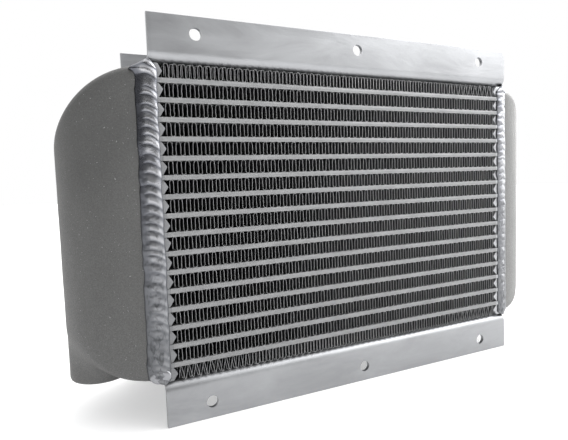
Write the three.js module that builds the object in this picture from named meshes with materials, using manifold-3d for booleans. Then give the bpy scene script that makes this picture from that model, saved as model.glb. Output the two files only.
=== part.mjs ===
// Bar-and-plate hydraulic oil cooler. Millimetres, +X along the core, -Y is the front, +Z up.
// The origin is on the plane that the lower channel stands on, under the middle of the core.
// Air blows through the folded fins along Y. Oil runs along X, from one end tank to the other.
import * as THREE from "three";
import { mergeVertices } from "three/addons/utils/BufferGeometryUtils.js";
import Module from "manifold-3d";

const wasm = await Module();
wasm.setup();

// Core stack, from bottom to top: air row, sheet, oil layer, sheet, air row, and so on.
const AIR_ROWS = 17;
const OIL_LAYERS = AIR_ROWS - 1;
const AIR_HEIGHT = 10;
const OIL_HEIGHT = 2.5;
const SHEET = 0.5;
const LAYER_HEIGHT = OIL_HEIGHT + 2 * SHEET;
const PITCH = AIR_HEIGHT + LAYER_HEIGHT;
const CORE_HEIGHT = AIR_ROWS * AIR_HEIGHT + OIL_LAYERS * LAYER_HEIGHT;
const CORE_LENGTH = 344;
const CORE_DEPTH = 120;
const HALF_LENGTH = CORE_LENGTH / 2;
const HALF_DEPTH = CORE_DEPTH / 2;

// Side channels: a web against the core and two flanges that the cooler is bolted by.
const CHANNEL_SHEET = 3;
const FLANGE_HEIGHT = 34;
const BEND_OUTER_RADIUS = 6;
const BEND_STEPS = 5;
const BOLT_RADIUS = 4.5;
const BOLT_SPACING = 138;
const BOLT_EDGE_DISTANCE = 12.5;
const BOLT_SIDES = 20;

const CORE_BOTTOM = FLANGE_HEIGHT;
const CORE_TOP = CORE_BOTTOM + CORE_HEIGHT;
const OVERALL_HEIGHT = CORE_TOP + FLANGE_HEIGHT;
const CORE_MIDDLE = OVERALL_HEIGHT / 2;

// Closing bars: the long ones shut the oil layers, the pointed ones shut the ends of the air rows.
const LONG_BAR = 6;

// Each end of the core: how far its bars reach in, to the shoulder and to the point, and how long
// the notch for the weld is. The right-hand bars stand further in.
const LEFT_END = { bar: 7, point: 9.5, notch: 5 };
const RIGHT_END = { bar: 11, point: 14.5, notch: 9 };
const LAYER_LEFT = LEFT_END.bar - HALF_LENGTH;
const LAYER_RIGHT = HALF_LENGTH - RIGHT_END.bar;

// Folded metal. The folds are coarser and thicker than the real ones, with the same amount of metal.
const FIN_METAL = 0.5;
const FIN_LEGS = 20;
const FIN_END_GAP = 0.5;
const FIN_SETBACK = 0.5;
const TURBULATOR_METAL = 0.25;
const TURBULATOR_LEGS = 8;
const TURBULATOR_GAP = 0.5;

// End tanks: half an ellipse in plan, with the outer corners rounded in the front view.
const TANK_REACH = 61;
const TANK_HALF_DEPTH = 55.5;
const TANK_WALL = 4.5;
const TANK_PLAN_STEPS = 24;
const CORNER_STEPS = 8;
const CORNER_HEIGHT = 57;
const PORT_CORNER_HEIGHT = 35;
const LEFT_TANK = { topCorner: CORNER_HEIGHT, bottomCorner: PORT_CORNER_HEIGHT };
const RIGHT_TANK = { topCorner: CORNER_HEIGHT, bottomCorner: CORNER_HEIGHT };

// Threaded port boss under each tank.
const PORT_RADIUS = 22.5;
const PORT_BORE_RADIUS = 13;
const PORT_REACH = 38;
const PORT_END = 28;
const PORT_ROOT = 72;
const PORT_SIDES = 32;

// Weld around each tank, in a notch along the front and rear corners of the core.
const NOTCH_DEPTH = 2;
const WELD_CROWN = 1.5;
const WELD_WIDTH_ON_TANK = 9.5;
const WELD_BACK = 56;
const WELD_TOP_REACH = 7;
const WELD_TOP_LIFT = 0.5;

const FINISH = {
  channel: { color: 0xc4c6c8, roughness: 0.42, metalness: 0.85 },
  bar: { color: 0xb4b6b8, roughness: 0.5, metalness: 0.8 },
  fin: { color: 0x5c5f62, roughness: 0.6, metalness: 0.7 },
  tank: { color: 0x9a9da1, roughness: 0.62, metalness: 0.7 },
  weld: { color: 0xa9acb2, roughness: 0.35, metalness: 0.85 },
};

// ---- Helpers -------------------------------------------------------------------------------

function outline(points) {
  return new THREE.Shape(points.map(([u, v]) => new THREE.Vector2(u, v)));
}

function extruded(points, depth, basis) {
  const geometry = new THREE.ExtrudeGeometry(outline(points), { depth, bevelEnabled: false });
  return geometry.applyMatrix4(basis);
}

// An (x, y) outline pushed up from z0 to z1.
function prismAlongZ(points, z0, z1) {
  return extruded(points, z1 - z0, new THREE.Matrix4().makeTranslation(0, 0, z0));
}

// An (x, z) outline pushed through from y0 to y1.
function prismAlongY(points, y0, y1) {
  const basis = new THREE.Matrix4().makeBasis(
    new THREE.Vector3(1, 0, 0), new THREE.Vector3(0, 0, 1), new THREE.Vector3(0, -1, 0));
  return extruded(points, y1 - y0, basis.setPosition(0, y1, 0));
}

// A (y, z) outline pushed along from x0 to x1.
function prismAlongX(points, x0, x1) {
  const basis = new THREE.Matrix4().makeBasis(
    new THREE.Vector3(0, 1, 0), new THREE.Vector3(0, 0, 1), new THREE.Vector3(1, 0, 0));
  return extruded(points, x1 - x0, basis.setPosition(x0, 0, 0));
}

function block(x0, x1, y0, y1, z0, z1) {
  return prismAlongZ([[x0, y0], [x1, y0], [x1, y1], [x0, y1]], z0, z1);
}

function circle(u, v, radius, sides) {
  const points = [];
  for (let i = 0; i < sides; i += 1) {
    const angle = (2 * Math.PI * i) / sides;
    points.push([u + radius * Math.cos(angle), v + radius * Math.sin(angle)]);
  }
  return points;
}

function solid(geometry) {
  const bare = geometry.index ? geometry.toNonIndexed() : geometry.clone();
  bare.deleteAttribute("normal");
  bare.deleteAttribute("uv");
  const merged = mergeVertices(bare, 1e-4);
  return new wasm.Manifold(new wasm.Mesh({
    numProp: 3,
    vertProperties: new Float32Array(merged.attributes.position.array),
    triVerts: new Uint32Array(merged.index.array),
  }));
}

function geometryOf(manifold) {
  const mesh = manifold.getMesh();
  const geometry = new THREE.BufferGeometry();
  geometry.setAttribute("position", new THREE.BufferAttribute(mesh.vertProperties, 3));
  geometry.setIndex(new THREE.BufferAttribute(mesh.triVerts, 1));
  geometry.computeVertexNormals();
  return geometry;
}

function joined(geometries) {
  return geometries.map(solid).reduce((whole, piece) => whole.add(piece));
}

function mirroredInX(points) {
  return points.map(([x, v]) => [-x, v]).reverse();
}

const cooler = new THREE.Group();

function place(name, geometry, finish) {
  const mesh = new THREE.Mesh(geometry, new THREE.MeshStandardMaterial(FINISH[finish]));
  mesh.name = name;
  cooler.add(mesh);
}

function numbered(name, index) {
  return `${name}_${String(index + 1).padStart(2, "0")}`;
}

// Row and layer 1 are at the top of the core.
function airRowBottom(row) {
  return CORE_TOP - AIR_HEIGHT - row * PITCH;
}

function oilLayerBottom(layer) {
  return airRowBottom(layer) - LAYER_HEIGHT;
}

// ---- Folded metal --------------------------------------------------------------------------

// Outline of a strip folded square, between u = -width/2 and width/2 and from v = 0 to height.
function foldedStrip(width, height, metal, legs) {
  const step = (width - metal) / (legs - 1);
  const half = metal / 2;
  const upper = [];
  const lower = [];
  for (let leg = 0; leg < legs; leg += 1) {
    const u = leg * step - width / 2 + half;
    const crestOnLeft = leg % 2 === 1;
    const foot = leg === 0 || leg === legs - 1;
    if (crestOnLeft) {
      upper.push([u + half, height]);
      upper.push([u + half, foot ? 0 : metal]);
      lower.push([u - half, height - metal]);
      lower.push([u - half, 0]);
    } else {
      upper.push([u - half, foot ? 0 : metal]);
      upper.push([u - half, height]);
      lower.push([u + half, 0]);
      lower.push([u + half, height - metal]);
    }
  }
  return [...lower, ...upper.reverse()];
}

function airFin(row) {
  const left = LEFT_END.point + FIN_END_GAP - HALF_LENGTH;
  const right = HALF_LENGTH - RIGHT_END.point - FIN_END_GAP;
  const strip = foldedStrip(right - left, AIR_HEIGHT, FIN_METAL, FIN_LEGS);
  const reach = HALF_DEPTH - FIN_SETBACK;
  return prismAlongY(strip, -reach, reach).translate((left + right) / 2, 0, airRowBottom(row));
}

function turbulator(layer) {
  const width = CORE_DEPTH - 2 * (LONG_BAR + TURBULATOR_GAP);
  const strip = foldedStrip(width, OIL_HEIGHT, TURBULATOR_METAL, TURBULATOR_LEGS);
  const bottom = oilLayerBottom(layer) + SHEET;
  return prismAlongX(strip, LAYER_LEFT, LAYER_RIGHT).translate(0, 0, bottom);
}

// ---- Core ----------------------------------------------------------------------------------

// Two sheets and two long closing bars: a flat tube, open at both ends.
function oilPassage(layer) {
  const inside = HALF_DEPTH - LONG_BAR;
  const z0 = oilLayerBottom(layer);
  const z1 = z0 + LAYER_HEIGHT;
  const outer = block(LAYER_LEFT, LAYER_RIGHT, -HALF_DEPTH, HALF_DEPTH, z0, z1);
  const way = block(LAYER_LEFT - 1, LAYER_RIGHT + 1, -inside, inside, z0 + SHEET, z1 - SHEET);
  return geometryOf(solid(outer).subtract(solid(way)));
}

function endBarOutline(side, coreEnd, bottom) {
  const outer = -HALF_LENGTH;
  const points = [
    [outer, bottom],
    [outer + coreEnd.bar, bottom],
    [outer + coreEnd.point, bottom + AIR_HEIGHT / 2],
    [outer + coreEnd.bar, bottom + AIR_HEIGHT],
    [outer, bottom + AIR_HEIGHT],
  ];
  return side < 0 ? points : mirroredInX(points);
}

// The pointed bars of all air rows, tied by the corner ends of the long bars between them.
function endBars(side, coreEnd) {
  const inner = side * (HALF_LENGTH - coreEnd.bar);
  const outer = side * HALF_LENGTH;
  const x0 = Math.min(inner, outer);
  const x1 = Math.max(inner, outer);
  const pieces = [];
  for (let row = 0; row < AIR_ROWS; row += 1) {
    const bar = endBarOutline(side, coreEnd, airRowBottom(row));
    pieces.push(prismAlongY(bar, -HALF_DEPTH, HALF_DEPTH));
  }
  for (const end of [-1, 1]) {
    const y0 = Math.min(end * HALF_DEPTH, end * (HALF_DEPTH - LONG_BAR));
    pieces.push(block(x0, x1, y0, y0 + LONG_BAR, CORE_BOTTOM, CORE_TOP));
  }
  let bars = joined(pieces);
  for (const end of [-1, 1]) {
    const nx = side * (HALF_LENGTH - coreEnd.notch);
    const ny = end * (HALF_DEPTH - NOTCH_DEPTH);
    const notch = block(
      Math.min(nx, side * (HALF_LENGTH + 1)), Math.max(nx, side * (HALF_LENGTH + 1)),
      Math.min(ny, end * (HALF_DEPTH + 1)), Math.max(ny, end * (HALF_DEPTH + 1)),
      CORE_BOTTOM - 1, CORE_TOP + 1);
    bars = bars.subtract(solid(notch));
  }
  return geometryOf(bars);
}

// ---- Side channels -------------------------------------------------------------------------

function arc(y, z, radius, from, to) {
  const points = [];
  for (let i = 0; i <= BEND_STEPS; i += 1) {
    const angle = from + ((to - from) * i) / BEND_STEPS;
    points.push([y + radius * Math.cos(angle), z + radius * Math.sin(angle)]);
  }
  return points;
}

// Section with the web at z = 0 and the flanges standing up, in (y, z).
function channelSection() {
  const r = BEND_OUTER_RADIUS;
  const y = HALF_DEPTH - r;
  const inner = r - CHANNEL_SHEET;
  const quarter = Math.PI / 2;
  return [
    ...arc(-y, r, r, 2 * quarter, 3 * quarter),
    ...arc(y, r, r, -quarter, 0),
    [HALF_DEPTH, FLANGE_HEIGHT],
    [HALF_DEPTH - CHANNEL_SHEET, FLANGE_HEIGHT],
    ...arc(y, r, inner, 0, -quarter),
    ...arc(-y, r, inner, 3 * quarter, 2 * quarter),
    [CHANNEL_SHEET - HALF_DEPTH, FLANGE_HEIGHT],
    [-HALF_DEPTH, FLANGE_HEIGHT],
  ];
}

function channel(upright) {
  const section = channelSection();
  let placed = section.map(([y, z]) => [y, CORE_TOP + z]);
  if (!upright) {
    placed = section.map(([y, z]) => [y, CORE_BOTTOM - z]).reverse();
  }
  const edge = upright ? OVERALL_HEIGHT - BOLT_EDGE_DISTANCE : BOLT_EDGE_DISTANCE;
  let body = solid(prismAlongX(placed, -HALF_LENGTH, HALF_LENGTH));
  for (const x of [-BOLT_SPACING, 0, BOLT_SPACING]) {
    const hole = prismAlongY(circle(x, edge, BOLT_RADIUS, BOLT_SIDES), -HALF_DEPTH - 1, HALF_DEPTH + 1);
    body = body.subtract(solid(hole));
  }
  return geometryOf(body);
}

// ---- End tanks -----------------------------------------------------------------------------

// Half an ellipse in plan; inset shrinks it by the wall.
function tankPlan(inset) {
  const points = [];
  for (let i = 0; i <= TANK_PLAN_STEPS; i += 1) {
    const angle = (Math.PI * i) / TANK_PLAN_STEPS - Math.PI / 2;
    const x = (TANK_REACH - inset) * Math.cos(angle);
    points.push([HALF_LENGTH + x, (TANK_HALF_DEPTH - inset) * Math.sin(angle)]);
  }
  points[0][0] = HALF_LENGTH - inset;
  points[TANK_PLAN_STEPS][0] = HALF_LENGTH - inset;
  return points;
}

function cornerArc(reach, z, height, from, to) {
  const points = [];
  for (let i = 0; i <= CORNER_STEPS; i += 1) {
    const angle = from + ((to - from) * i) / CORNER_STEPS;
    points.push([HALF_LENGTH + reach * Math.cos(angle), z + height * Math.sin(angle)]);
  }
  return points;
}

// Front view of a tank: straight outer side, quarter-ellipse corners.
function tankFront(tank, inset) {
  const reach = TANK_REACH - inset;
  const bottom = CORE_BOTTOM + tank.bottomCorner;
  const top = CORE_TOP - tank.topCorner;
  const points = [
    ...cornerArc(reach, bottom, tank.bottomCorner - inset, -Math.PI / 2, 0),
    ...cornerArc(reach, top, tank.topCorner - inset, 0, Math.PI / 2),
  ];
  points[0][0] = HALF_LENGTH - inset;
  points[points.length - 1][0] = HALF_LENGTH - inset;
  return points;
}

function tankBody(tank, inset) {
  const plan = solid(prismAlongZ(tankPlan(inset), CORE_BOTTOM, CORE_TOP));
  const front = solid(prismAlongY(tankFront(tank, inset), -HALF_DEPTH, HALF_DEPTH));
  return plan.intersect(front);
}

// Built on the right-hand end; the left one is turned over to the other side in X.
function endTank(side, tank) {
  const x = HALF_LENGTH + PORT_REACH;
  const boss = solid(prismAlongZ(circle(x, 0, PORT_RADIUS, PORT_SIDES), PORT_END, PORT_ROOT));
  const bore = circle(x, 0, PORT_BORE_RADIUS, PORT_SIDES);
  const whole = tankBody(tank, 0)
    .add(boss)
    .subtract(tankBody(tank, TANK_WALL))
    .subtract(solid(prismAlongZ(bore, PORT_END - 1, PORT_ROOT + 1)));
  return geometryOf(side > 0 ? whole : whole.mirror([1, 0, 0]));
}

// ---- Welds ---------------------------------------------------------------------------------

function weldSection(end, notch) {
  const face = HALF_DEPTH;
  const x = HALF_LENGTH;
  const points = [
    [x, WELD_BACK],
    [x, face - NOTCH_DEPTH],
    [x - notch, face - NOTCH_DEPTH],
    [x - notch, face],
    [x - notch / 2, face + 0.75 * WELD_CROWN],
    [x, face + WELD_CROWN],
    [x + WELD_WIDTH_ON_TANK / 2, face + WELD_CROWN / 2],
    [x + WELD_WIDTH_ON_TANK, WELD_BACK],
  ];
  return end > 0 ? points.reverse() : points.map(([u, v]) => [u, -v]);
}

// The same bead where it runs on past the core, in front of the channel's end.
function weldTip(end, notch) {
  return weldSection(end, notch).map(([u, v]) => [Math.max(u, HALF_LENGTH), v]);
}

function tankWeld(side, notch) {
  const x = HALF_LENGTH;
  const low = CORE_BOTTOM - CHANNEL_SHEET;
  const high = CORE_TOP + CHANNEL_SHEET;
  const pieces = [];
  for (const end of [-1, 1]) {
    pieces.push(prismAlongZ(weldSection(end, notch), CORE_BOTTOM, CORE_TOP));
    pieces.push(prismAlongZ(dropRepeats(weldTip(end, notch)), low, high));
  }
  const lift = WELD_TOP_LIFT;
  const above = [[x, CORE_TOP + lift], [x + WELD_TOP_REACH, CORE_TOP + lift], [x, high]];
  const below = [[x, CORE_BOTTOM - lift], [x, low], [x + WELD_TOP_REACH, CORE_BOTTOM - lift]];
  pieces.push(prismAlongY(above, -HALF_DEPTH, HALF_DEPTH));
  pieces.push(prismAlongY(below, -HALF_DEPTH, HALF_DEPTH));
  const ring = joined(pieces);
  return geometryOf(side > 0 ? ring : ring.mirror([1, 0, 0]));
}

function dropRepeats(points) {
  return points.filter(([u, v], i) => {
    const [pu, pv] = points[(i + points.length - 1) % points.length];
    return u !== pu || v !== pv;
  });
}

// ---- Assembly ------------------------------------------------------------------------------

for (let row = 0; row < AIR_ROWS; row += 1) {
  place(numbered("air_fin", row), airFin(row), "fin");
}
for (let layer = 0; layer < OIL_LAYERS; layer += 1) {
  place(numbered("oil_passage", layer), oilPassage(layer), "bar");
  place(numbered("turbulator", layer), turbulator(layer), "fin");
}
place("left_end_bars", endBars(-1, LEFT_END), "bar");
place("right_end_bars", endBars(1, RIGHT_END), "bar");
place("top_channel", channel(true), "channel");
place("bottom_channel", channel(false), "channel");
place("left_tank", endTank(-1, LEFT_TANK), "tank");
place("right_tank", endTank(1, RIGHT_TANK), "tank");
place("left_tank_weld", tankWeld(-1, LEFT_END.notch), "weld");
place("right_tank_weld", tankWeld(1, RIGHT_END.notch), "weld");

export default cooler;
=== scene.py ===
import math

import bmesh
import bpy
import numpy as np
from mathutils import Euler, Matrix, Vector, noise


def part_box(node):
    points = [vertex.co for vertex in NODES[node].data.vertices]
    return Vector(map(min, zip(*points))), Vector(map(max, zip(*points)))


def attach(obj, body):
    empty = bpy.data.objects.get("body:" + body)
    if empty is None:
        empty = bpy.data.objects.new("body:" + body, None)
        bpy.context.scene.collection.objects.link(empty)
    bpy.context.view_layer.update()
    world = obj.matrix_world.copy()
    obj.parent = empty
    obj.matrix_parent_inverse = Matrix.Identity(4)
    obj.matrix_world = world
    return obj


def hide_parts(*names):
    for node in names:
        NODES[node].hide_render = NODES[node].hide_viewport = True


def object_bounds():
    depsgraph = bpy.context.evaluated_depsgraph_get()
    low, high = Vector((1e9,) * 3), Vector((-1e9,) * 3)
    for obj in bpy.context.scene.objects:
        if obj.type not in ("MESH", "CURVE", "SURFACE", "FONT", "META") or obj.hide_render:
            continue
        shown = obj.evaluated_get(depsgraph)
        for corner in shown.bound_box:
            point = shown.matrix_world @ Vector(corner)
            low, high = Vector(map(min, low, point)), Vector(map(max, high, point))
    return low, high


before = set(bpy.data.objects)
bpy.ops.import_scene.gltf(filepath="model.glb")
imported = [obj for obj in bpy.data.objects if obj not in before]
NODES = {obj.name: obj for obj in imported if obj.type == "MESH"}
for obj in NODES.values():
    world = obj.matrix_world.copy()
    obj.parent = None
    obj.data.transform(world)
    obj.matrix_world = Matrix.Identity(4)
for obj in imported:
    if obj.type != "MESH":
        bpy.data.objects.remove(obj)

MM = 0.001
CAD_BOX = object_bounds()
CAD_LIMITS = [np.array(corner) / MM for corner in CAD_BOX]


# ---- Sizes, in millimetres, read from the frame ----

def box_mm(node):
    """The lower and upper corner of a CAD node's box."""
    low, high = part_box(node)
    return np.array(low) / MM, np.array(high) / MM


HALF_LENGTH, HALF_DEPTH = box_mm("bottom_channel")[1][:2]
CORE_BOTTOM, CORE_TOP = (corner[2] for corner in box_mm("left_end_bars"))
AIR_ROWS = sum(name.startswith("air_fin") for name in NODES)
OIL_LAYERS = sum(name.startswith("oil_passage") for name in NODES)
LAYER_ENDS = [corner[0] for corner in box_mm("oil_passage_01")]
FIN_ENDS = [corner[0] for corner in box_mm("air_fin_01")]

# The sizes of the CAD parts, where a detailed piece has to repeat them.
CHANNEL_SHEET = 3.0
BEND_RADIUS = 8.5       # outside of the channels' bends: the only one that is rounder than the CAD's
BOLT_RADIUS = 4.5
BOLT_SPACING = 138.0
BOLT_EDGE = 12.5
LONG_BAR = 6.0          # width of the bars along the front and the rear of an oil layer
SHEET = 0.5             # parting sheet over and under an oil layer
FIN_END_GAP = 0.5
TANK_REACH = 61.0
TANK_HALF_DEPTH = 55.5
TANK_WALL = 4.5
TANK_CORNER = 57.0
PORT_CORNER = 35.0
PORT_RADIUS = 22.5
PORT_BORE = 13.0
PORT_REACH = 38.0       # from the end of the core to the port's centre line
PORT_END = 28.0         # height of the port's face


# ---- Materials ----

class Nodes:
    """A node tree with short calls."""

    def __init__(self, tree):
        self.tree = tree

    def new(self, kind, inputs=None, **settings):
        """A node, with each of its inputs fed from a socket or set to a value."""
        node = self.tree.nodes.new(kind)
        for key, value in settings.items():
            setattr(node, key, value)
        for key, value in (inputs or {}).items():
            self.feed(node.inputs[key], value)
        return node

    def feed(self, socket, value):
        if isinstance(value, bpy.types.NodeSocket):
            self.tree.links.new(value, socket)
        else:
            socket.default_value = value


class Surface(Nodes):
    """The node tree of a new material. Each call returns an output socket."""

    def __init__(self, name):
        self.material = bpy.data.materials.new(name)
        self.material.use_nodes = True
        super().__init__(self.material.node_tree)
        self.shader = self.tree.nodes["Principled BSDF"]
        self.place = self.new("ShaderNodeTexCoord").outputs["Object"]

    def stretched(self, scale):
        """Object coordinates in millimetres, scaled along each axis."""
        inputs = {"Vector": self.place, "Scale": [value / MM for value in scale]}
        return self.new("ShaderNodeMapping", inputs).outputs["Vector"]

    def noise(self, scale, detail=2.0, roughness=0.5, distortion=0.0):
        """Noise whose grains are about 1/scale millimetres along each axis."""
        if not isinstance(scale, tuple):
            scale = (scale, scale, scale)
        inputs = {"Vector": self.stretched(scale), "Scale": 1.0, "Detail": detail,
                  "Roughness": roughness, "Distortion": distortion}
        return self.new("ShaderNodeTexNoise", inputs).outputs["Fac"]

    def cells(self, scale):
        """Distance to the nearest of many scattered points."""
        inputs = {"Vector": self.stretched((scale, scale, scale)), "Scale": 1.0}
        return self.new("ShaderNodeTexVoronoi", inputs).outputs["Distance"]

    def ramp(self, value, stops):
        """A colour or a grey level that changes along a value."""
        node = self.new("ShaderNodeValToRGB", {"Fac": value})
        elements = node.color_ramp.elements
        while len(elements) < len(stops):
            elements.new(0.5)
        for element, (place, colour) in zip(elements, stops):
            element.position = place
            shade = (colour, colour, colour) if isinstance(colour, float) else colour
            element.color = (*shade, 1.0)
        return node.outputs["Color"]

    def math(self, operation, a, b=0.0):
        return self.new("ShaderNodeMath", {0: a, 1: b}, operation=operation).outputs["Value"]

    def span(self, value, low, high):
        """Takes 0..1 to low..high."""
        inputs = {"Value": value, "To Min": low, "To Max": high}
        return self.new("ShaderNodeMapRange", inputs).outputs["Result"]

    def mix(self, factor, a, b):
        """From colour a at factor 0 to colour b at factor 1."""
        a, b = ((*value, 1.0) if isinstance(value, tuple) else value for value in (a, b))
        return self.new("ShaderNodeMix", {0: factor, 6: a, 7: b}, data_type="RGBA").outputs[2]

    def bump(self, height, distance, under=None):
        """Relief a distance deep, in millimetres, on top of the relief under it."""
        inputs = {"Strength": 1.0, "Distance": distance * MM, "Height": height}
        if under is not None:
            inputs["Normal"] = under
        return self.new("ShaderNodeBump", inputs).outputs["Normal"]

    def attribute(self, name):
        return self.new("ShaderNodeAttribute", attribute_name=name).outputs["Fac"]

    def finish(self, colour, roughness, normal, metallic):
        for name, value in (("Base Color", colour), ("Roughness", roughness), ("Normal", normal),
                            ("Metallic", metallic)):
            self.feed(self.shader.inputs[name], value)
        return self.material


# How metallic the surfaces are: brazed and blasted metal is a little chalky.
BARE = 1.0
BRAZED = 0.85
FOLDED = 0.8
BLASTED = 0.75

SOOT = (0.06, 0.063, 0.067)
# Painted shade for the crevices along a weld's feet.
CREVICE_SHADE = (0.03, 0.031, 0.034)
DRIED_FLUX = (0.62, 0.62, 0.61)
BRIGHT_SPECK = (0.5, 0.5, 0.5)


def cool_grey(level):
    """A grey with a trace of blue."""
    return level, 1.015 * level, 1.045 * level


def sheet_material(name, paleness):
    """Rolled aluminium sheet: faint drawing lines, clouds and smudges, small nicks."""
    n = Surface(name)
    clouds = n.noise((0.016, 0.03, 0.05), detail=5.0, roughness=0.6, distortion=0.6)
    lines = n.noise((0.02, 1.1, 1.6), detail=3.0, roughness=0.6)
    grain = n.noise(0.9, detail=3.0, roughness=0.65)
    smudges = n.ramp(n.noise(0.035, detail=4.0, distortion=1.2), [(0.5, 0.0), (0.68, 1.0)])
    dark, middle, light = (cool_grey(paleness * level) for level in (0.32, 0.373, 0.418))
    colour = n.ramp(clouds, [(0.3, dark), (0.5, middle), (0.72, light)])
    colour = n.mix(n.span(lines, 0.0, 0.1), colour, cool_grey(0.36 * paleness))
    colour = n.mix(n.math("MULTIPLY", smudges, 0.15), colour, dark)
    roughness = n.math("ADD", n.span(clouds, 0.34, 0.5), n.span(grain, -0.06, 0.06))
    normal = n.bump(lines, 0.008)
    normal = n.bump(grain, 0.02, under=normal)
    normal = n.bump(clouds, 0.35, under=normal)
    return n.finish(colour, roughness, normal, BARE)


def bar_material(name, patch_size, shades, roughness, flux_share=0.0):
    """Brazed bars and sheet edges: grainy, from a dark to a light shade in patches, with specks and
    a share of dried flux."""
    dark, light, specks = shades
    n = Surface(name)
    grain = n.noise(1.4, detail=4.0, roughness=0.7)
    patches = n.noise(patch_size, detail=3.0, roughness=0.6)
    colour = n.ramp(patches, [(0.3, dark), (0.7, light)])
    colour = n.mix(n.span(grain, 0.0, 0.5), colour, specks)
    normal = n.bump(grain, 0.09)
    if flux_share:
        flux = n.ramp(n.cells(1.1), [(0.1, 1.0), (0.35, 0.0)])
        colour = n.mix(n.math("MULTIPLY", flux, flux_share), colour, DRIED_FLUX)
        normal = n.bump(flux, 0.04, under=normal)
    return n.finish(colour, n.span(grain, *roughness), normal, BRAZED)


def end_bar_material(name, paleness):
    """Ends of the short bars: greyer than the long bars, and a paler copy by paleness that is a painted
    reflection.
    """
    shades = [cool_grey(paleness * level) for level in (0.2, 0.27, 0.16)]
    return bar_material(name, 0.1, shades, (0.4, 0.62))


def fin_material(name, grain_size, shades, speckle, roughness):
    """Metal of the fins, dark to light by each leg's tone, partly painted light and shade, with specks."""
    dark, light, specks = shades
    n = Surface(name)
    grain = n.noise(grain_size, detail=3.0, roughness=0.6)
    colour = n.ramp(n.attribute("leg_shade"), [(0.0, dark), (1.0, light)])
    colour = n.mix(n.span(grain, 0.0, speckle), colour, specks)
    return n.finish(colour, n.span(grain, *roughness), n.bump(grain, 0.03), FOLDED)


def grey(level):
    """A grey with a trace of warmth."""
    return level, level, 0.985 * level


def casting_material(name, paleness):
    """Bead-blasted tank: fine even grain, soft tone changes, a few bright specks, and painted light and
    shade, darker higher up.
    """
    n = Surface(name)
    grain = n.noise(0.9, detail=5.0, roughness=0.8)
    fine = n.noise(3.0, detail=2.0, roughness=0.7)
    tone = n.noise((0.012, 0.02, 0.009), detail=4.0, roughness=0.55, distortion=0.5)
    specks = n.ramp(n.noise(0.9, detail=1.0), [(0.7, 0.0), (0.78, 1.0)])
    # Painted light and shade of the floor's bounce: lighter lower down, darker higher up.
    tone = n.math("ADD", tone, n.span(n.attribute("rise"), 0.17, -0.17))
    pit, dark, light = (grey(level * paleness) for level in (0.085, 0.14, 0.2))
    colour = n.ramp(tone, [(0.2, dark), (0.8, light)])
    blotches = n.ramp(grain, [(0.4, 0.0), (0.62, 1.0)])
    colour = n.mix(n.math("MULTIPLY", blotches, 0.5), colour, pit)
    colour = n.mix(n.math("MULTIPLY", specks, 0.6), colour, BRIGHT_SPECK)
    roughness = n.span(grain, 0.5, 0.72)
    normal = n.bump(grain, 0.3)
    normal = n.bump(fine, 0.06, under=normal)
    return n.finish(colour, roughness, normal, BLASTED)


def weld_material(name, paleness):
    """Weld metal: painted highlights on the ripples' crests and painted shade in the valleys between
    them, darker smut in patches, dull where the run began, and painted crevice shade along both feet."""
    n = Surface(name)
    grain = n.noise(1.2, detail=4.0, roughness=0.6)
    patches = n.noise(0.09, detail=3.0, distortion=0.8)
    soot = n.ramp(n.noise((0.3, 0.3, 0.16), detail=3.0, distortion=1.0), [(0.5, 0.0), (0.66, 1.0)])
    crest = n.attribute("crest")
    dull = n.attribute("dull")
    valley_shade, flank, smut, matt = ((0.11, 0.114, 0.13), (0.2, 0.205, 0.222), (0.13, 0.134, 0.15),
                                 (0.2, 0.205, 0.208))
    # Crest ramp: painted shade in the ripples' valleys, painted highlight on their crests.
    top = (0.6 * paleness, 0.6 * paleness, 0.62 * paleness)
    sooty = n.math("MULTIPLY", soot, dull)
    colour = n.ramp(crest, [(0.0, valley_shade), (0.45, flank), (1.0, top)])
    colour = n.mix(n.span(patches, 0.0, 0.4), colour, smut)
    colour = n.mix(n.math("MULTIPLY", dull, 0.5), colour, matt)
    colour = n.mix(n.math("MULTIPLY", sooty, 0.6), colour, SOOT)
    # Painted shade of the crevice along each foot.
    colour = n.mix(n.math("MULTIPLY", n.attribute("toe_shade"), 0.8), colour, CREVICE_SHADE)
    roughness = n.math("ADD", n.span(patches, 0.18, 0.34), n.span(grain, -0.05, 0.08))
    roughness = n.math("ADD", roughness, n.math("MULTIPLY", dull, 0.2))
    return n.finish(colour, roughness, n.bump(grain, 0.1), BARE)


def machined_material():
    """Turned port: fine rings round the bore."""
    n = Surface("machined_port")
    rings = n.noise((2.5, 2.5, 6.0), detail=2.0)
    tone = n.noise(0.08, detail=2.0)
    dark, light = (0.66, 0.67, 0.68), (0.78, 0.79, 0.8)
    colour = n.ramp(tone, [(0.3, dark), (0.7, light)])
    return n.finish(colour, n.span(rings, 0.22, 0.36), n.bump(rings, 0.03), BARE)


SHEET_METAL = {"upper_channel": sheet_material("rolled_sheet", 1.0),
               "lower_channel": sheet_material("dull_rolled_sheet", 0.94)}
BAR_METAL = bar_material(
    "brazed_bar", (0.06, 0.1, 0.3), ((0.255, 0.257, 0.26), (0.345, 0.347, 0.35), (0.23, 0.232, 0.236)),
    (0.42, 0.68), flux_share=0.2)
LEFT_END_METAL = end_bar_material("grey_end_bar", 1.0)
# Paler copy for the right end: painted reflection of the bright backdrop on the noses.
RIGHT_END_METAL = end_bar_material("end_bar_painted_reflection", 2.1)
FIN_METAL = fin_material(
    "brazed_fin", 1.8, ((0.06, 0.061, 0.064), (0.15, 0.152, 0.156), (0.08, 0.081, 0.084)),
    0.3, (0.4, 0.6))
# Bright metal of the sheared fin edges, also a painted highlight on a band of the flank behind each edge.
CUT_EDGE_AND_LIT_BAND = fin_material(
    "fin_cut_edge_and_lit_band", (1.5, 1.5, 0.5), ((0.42, 0.423, 0.43), (0.68, 0.683, 0.69), (0.28, 0.283, 0.29)),
    0.35, (0.45, 0.65))
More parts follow.
